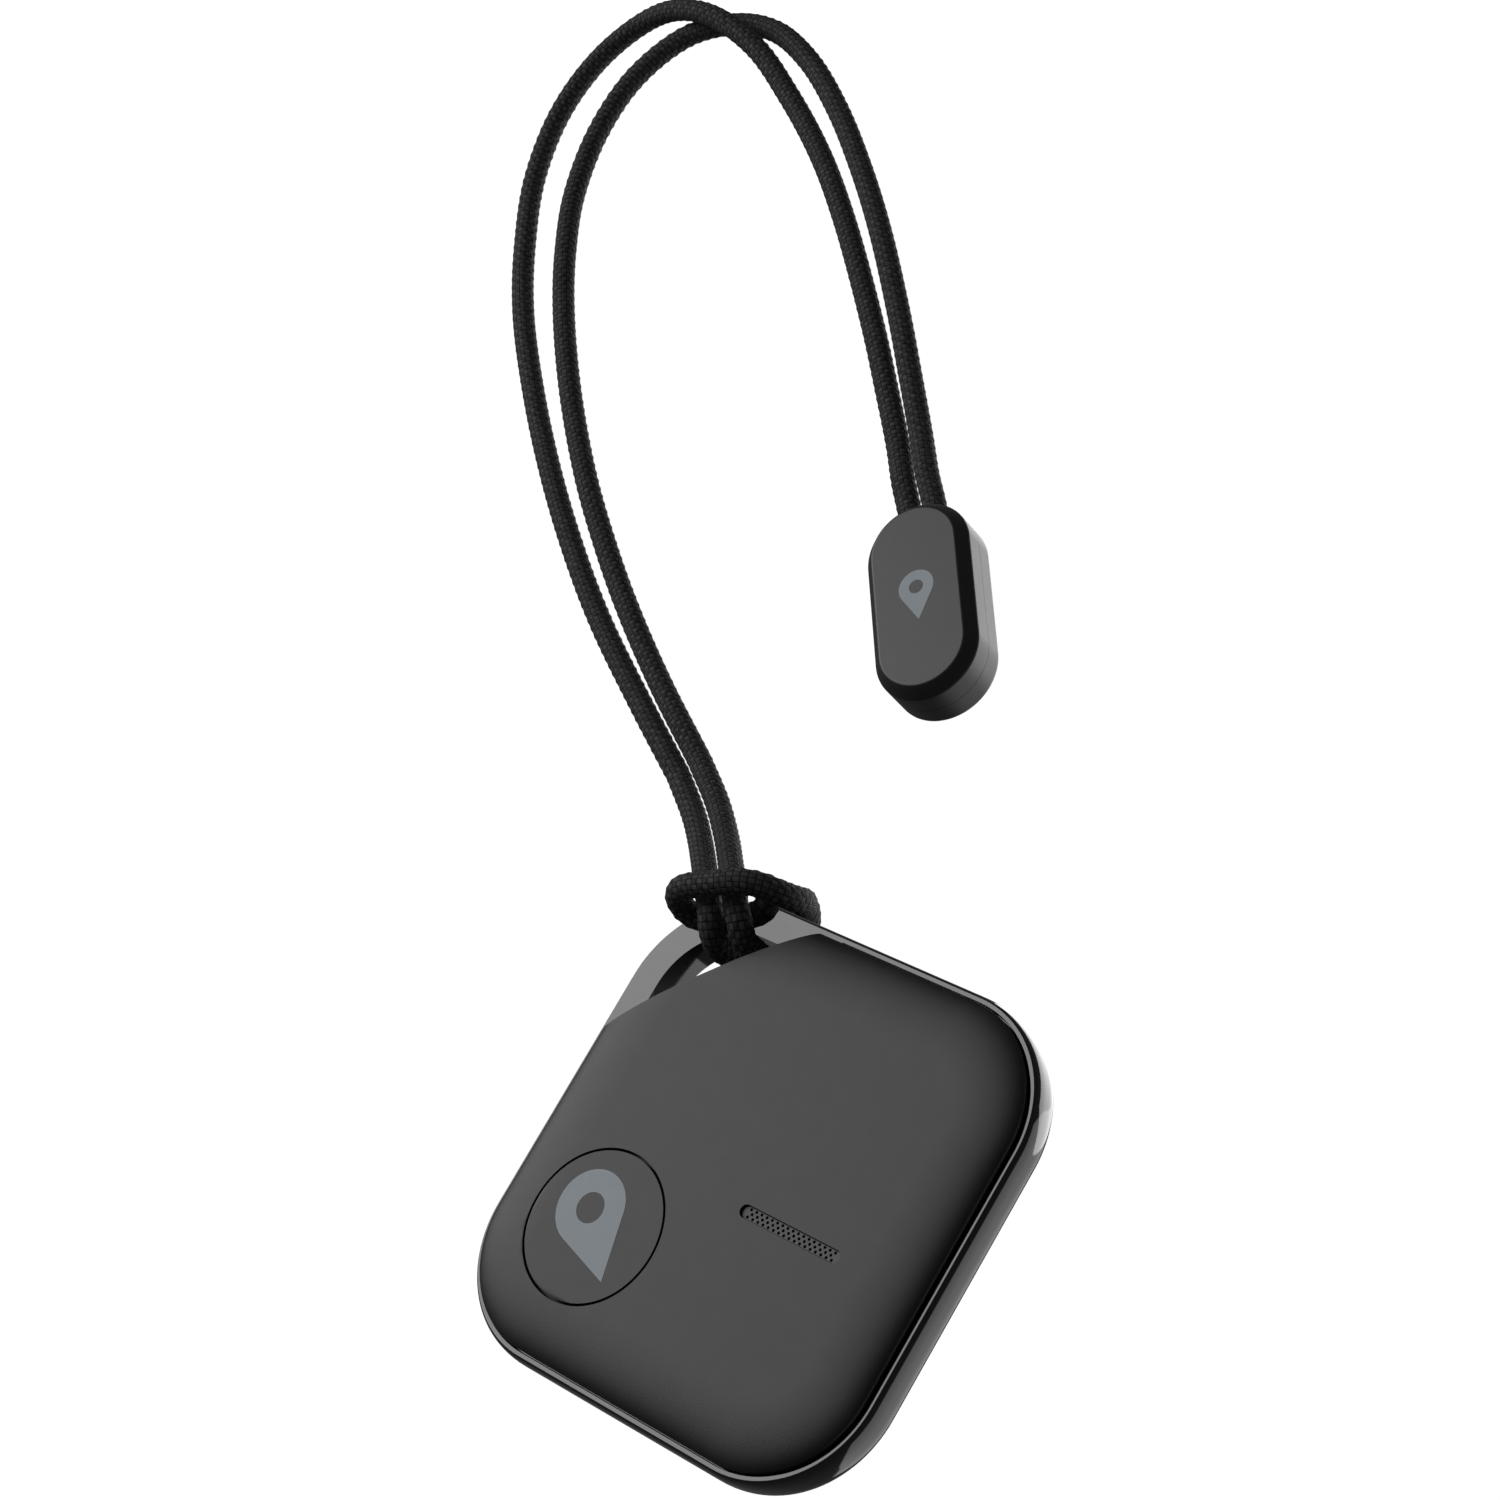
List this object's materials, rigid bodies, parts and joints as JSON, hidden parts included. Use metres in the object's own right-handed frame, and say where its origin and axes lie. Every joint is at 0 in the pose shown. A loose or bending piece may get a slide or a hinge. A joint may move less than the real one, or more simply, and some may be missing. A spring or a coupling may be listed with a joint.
{
  "type": "bluetooth tracker tag",
  "caption": "Flat square tracker tag with a press button, a sounder slot and a lift-off back over a coin cell, on a cord loop hitched through its corner eyelet and held by a stopper.",
  "frame": {"origin": "centre of the case's outline, on the surface that the back cover rests on", "axes": "+Z out of the front cover; +X and +Y along the case's sides, with the eyelet in the -X +Y corner"},
  "size_m": [0.1013, 0.1106, 0.0116],
  "materials": {
    "cover_matte_plastic": "fine matt texture",
    "frame_gloss_plastic": "polished",
    "stopper_plastic": "fine matt texture",
    "grille_plastic": "satin",
    "seal_rubber": "matt",
    "chip_plastic": "moulded",
    "board_plastic": "solder resist",
    "sounder_brass": "rolled",
    "contact_brass": "stamped",
    "sounder_ceramic": "fired",
    "cell_steel": "brushed",
    "cell_core_ceramic": "pressed powder",
    "cord_fabric": "fine braid"
  },
  "bodies": {
    "case": {"front_cover": "cover_matte_plastic", "mid_frame": "frame_gloss_plastic", "speaker_grille": "grille_plastic", "sounder_ring": "seal_rubber", "sounder_plate": "sounder_brass", "sounder_disc": "sounder_ceramic", "main_board": "board_plastic", "radio_chip": "chip_plastic", "crystal": "cell_steel", "chip_antenna": "sounder_ceramic", "driver_chip": "chip_plastic", "boost_inductor": "chip_plastic", "capacitor_left": "sounder_ceramic", "capacitor_right": "sounder_ceramic", "switch_base": "chip_plastic", "cell_holder": "chip_plastic", "positive_contact": "contact_brass", "negative_contact": "contact_brass", "cord_first_strand": "cord_fabric", "cord_hitch": "cord_fabric", "cord_second_strand": "cord_fabric", "stopper_front": "stopper_plastic", "stopper_rear": "stopper_plastic", "cord_crimp": "contact_brass"},
    "button": {"button_cap": "cover_matte_plastic", "switch_dome": "cell_steel"},
    "back": {"back_cover": "cover_matte_plastic", "seal_ring": "seal_rubber"},
    "cell": {"cell_can": "cell_steel", "cell_gasket": "seal_rubber", "cell_cap": "cell_steel", "cell_core": "cell_core_ceramic"}
  },
  "joints": [
    {"name": "button_press", "type": "slide", "parent": "case", "child": "button", "axis": [0, 0, -1], "range_m": [0, 0.0002], "stiffness_N_per_m": 2000},
    {"name": "back_lift_off", "type": "slide", "parent": "case", "child": "back", "axis": [0, 0, -1], "range_m": [0, 0.014]},
    {"name": "cell_lift_out", "type": "slide", "parent": "case", "child": "cell", "axis": [0, 0, -1], "range_m": [0, 0.007]}
  ],
  "couplings": [
    {"joint": "cell_lift_out", "follows": "back_lift_off", "ratio": 0.5}
  ]
}
